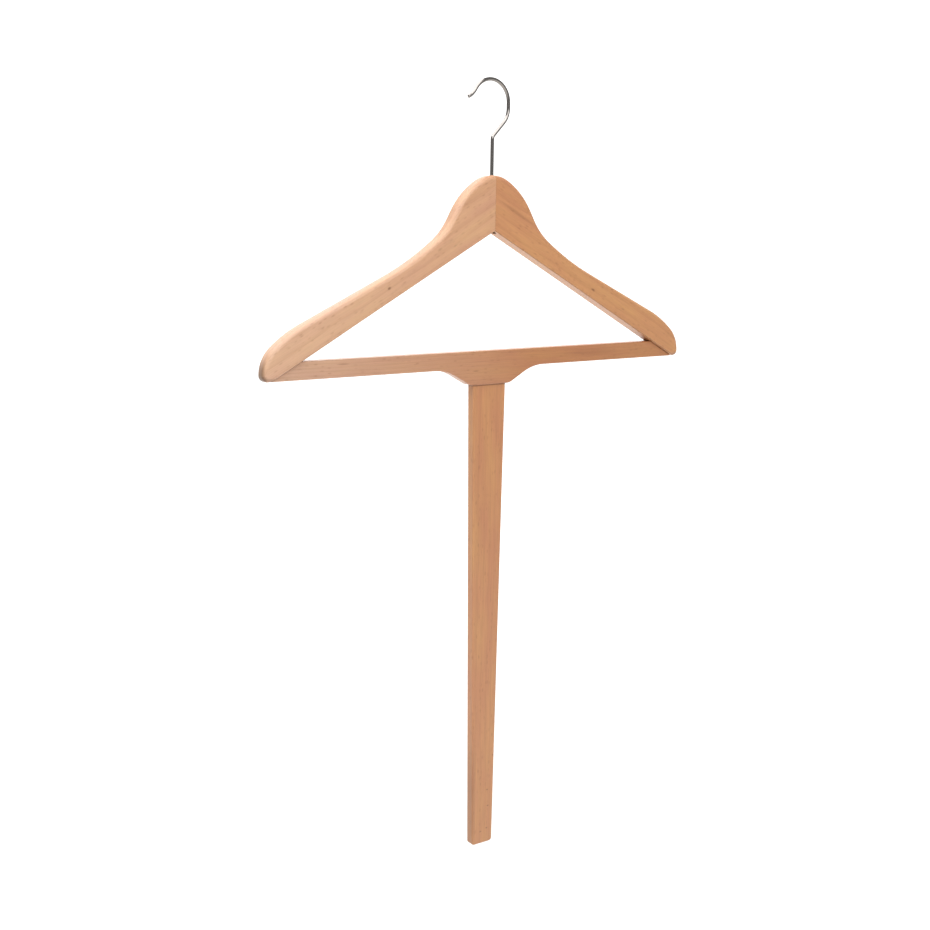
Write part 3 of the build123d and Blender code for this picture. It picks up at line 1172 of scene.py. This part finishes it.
@dataclass
class Studio:
    """A pale floor, white surroundings, soft boxes, and the camera that looks at the hanger."""

    floor_radius: float = 7.0
    floor_drop: float = 0.10    # below the stem's foot
    floor_thickness: float = 0.02
    floor_points: int = 64
    backdrop_glow: float = 1.7  # brightness of the lit white behind the hanger
    room_glow: float = 0.34     # brightness of the light from the rest of the room
    wall_white: float = 0.93    # the least that the room shows to the eye, though it lights less
    glow_edges: tuple[float, float] = (0.35, 0.80)  # cosines where the glow starts and is full
    eye: Triple = (-0.6815, -0.9074, -0.12065)
    heading: float = 33.06      # degrees to the right of +Y
    tilt: float = 10.50         # degrees down
    roll: float = 0.26
    lens: float = 50.32
    shift: tuple[float, float] = (0.0690, 0.0030)

    def build(self) -> None:
        """Lay the floor, light the room and place the camera."""
        self.floor()
        self.room()
        for box in (
            SoftBox("overhead_box", (-0.5, 0.10, 1.25), (0.0, 0.0, -0.2), 2.0, 1.5, 30.0),
            SoftBox("front_box", (-0.35, -1.40, 0.85), (0.0, 0.0, -0.3), 1.7, 1.4, 20.0),
        ):
            box.hang()
        self.camera()

    def behind(self) -> Triple:
        """Give the level direction from the front of the studio to its back."""
        heading = math.radians(self.heading)
        return (math.sin(heading), math.cos(heading), 0.0)

    def floor(self) -> None:
        """Lay a round floor: a thin disc of studio paper."""
        foot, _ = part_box("stem")
        top = foot.z - self.floor_drop
        angles = full_turn(self.floor_points)
        profile = np.array(
            [[self.floor_radius, top - self.floor_thickness], [self.floor_radius, top]]
        )
        paper = StudioPaper().material(self.behind())
        rings = turned_rings(profile, angles)
        disc = ring_surface("studio_floor", rings, Ends.CAPPED, paper, profile[:, 1])

    def room(self) -> None:
        """Surround the hanger with white that glows behind it and lights it less from the front.

        The glow at a direction follows the cosine of its angle to the level line from the front to
        the back. To the eye the walls are never darker than wall_white.
        """
        world = bpy.data.worlds.new("studio_room")
        world.use_nodes = True
        tree = world.node_tree
        tree.nodes.clear()
        towards = add(tree, "TexCoord").outputs["Generated"]
        cosine = add(tree, "VectorMath", {0: towards, 1: self.behind()}, operation="DOT_PRODUCT")
        glow = add(
            tree,
            "MapRange",
            {
                "Value": cosine.outputs["Value"],
                "From Min": self.glow_edges[0],
                "From Max": self.glow_edges[1],
                "To Min": self.room_glow,
                "To Max": self.backdrop_glow,
            },
            interpolation_type="SMOOTHSTEP",
        )
        seen = add(tree, "LightPath").outputs["Is Camera Ray"]
        wall = add(tree, "Math", {0: seen, 1: self.wall_white}, operation="MULTIPLY").outputs[0]
        strength = add(tree, "Math", {0: glow.outputs[0], 1: wall}, operation="MAXIMUM").outputs[0]
        light = add(tree, "Background", {"Color": (1, 1, 1, 1), "Strength": strength})
        add(tree, "OutputWorld", {"Surface": light.outputs["Background"]})
        bpy.context.scene.world = world
        bpy.context.scene.view_settings.view_transform = "Standard"

    def camera(self) -> None:
        """Place the camera: the lens looks along its heading and tilt, then rolls about that line."""
        heading, tilt, roll = (math.radians(a) for a in (self.heading, self.tilt, self.roll))
        look = Vector(
            (math.sin(heading) * math.cos(tilt), math.cos(heading) * math.cos(tilt), -math.sin(tilt))
        )
        right = Vector((math.cos(heading), -math.sin(heading), 0.0))
        up = right.cross(look)
        level = Matrix((right, up, -look)).transposed()
        data = bpy.data.cameras.new("camera")
        data.lens, data.sensor_width = self.lens, 36.0
        data.shift_x, data.shift_y = self.shift
        camera = bpy.data.objects.new("camera", data)
        turn = level @ Matrix.Rotation(roll, 3, "Z")
        camera.matrix_world = Matrix.Translation(self.eye) @ turn.to_4x4()
        bpy.context.scene.collection.objects.link(camera)
        bpy.context.scene.camera = camera


def main() -> None:
    """Build the hanger's looks and the studio, in order."""
    logging.basicConfig(level=logging.INFO, format="%(message)s")
    beech = SteamedBeech()
    HookAssembly().build()
    Shoulders().build(beech)
    CrossBar().build(beech)
    Stem().build(beech)
    Studio().build()


if __name__ == "__main__":
    main()
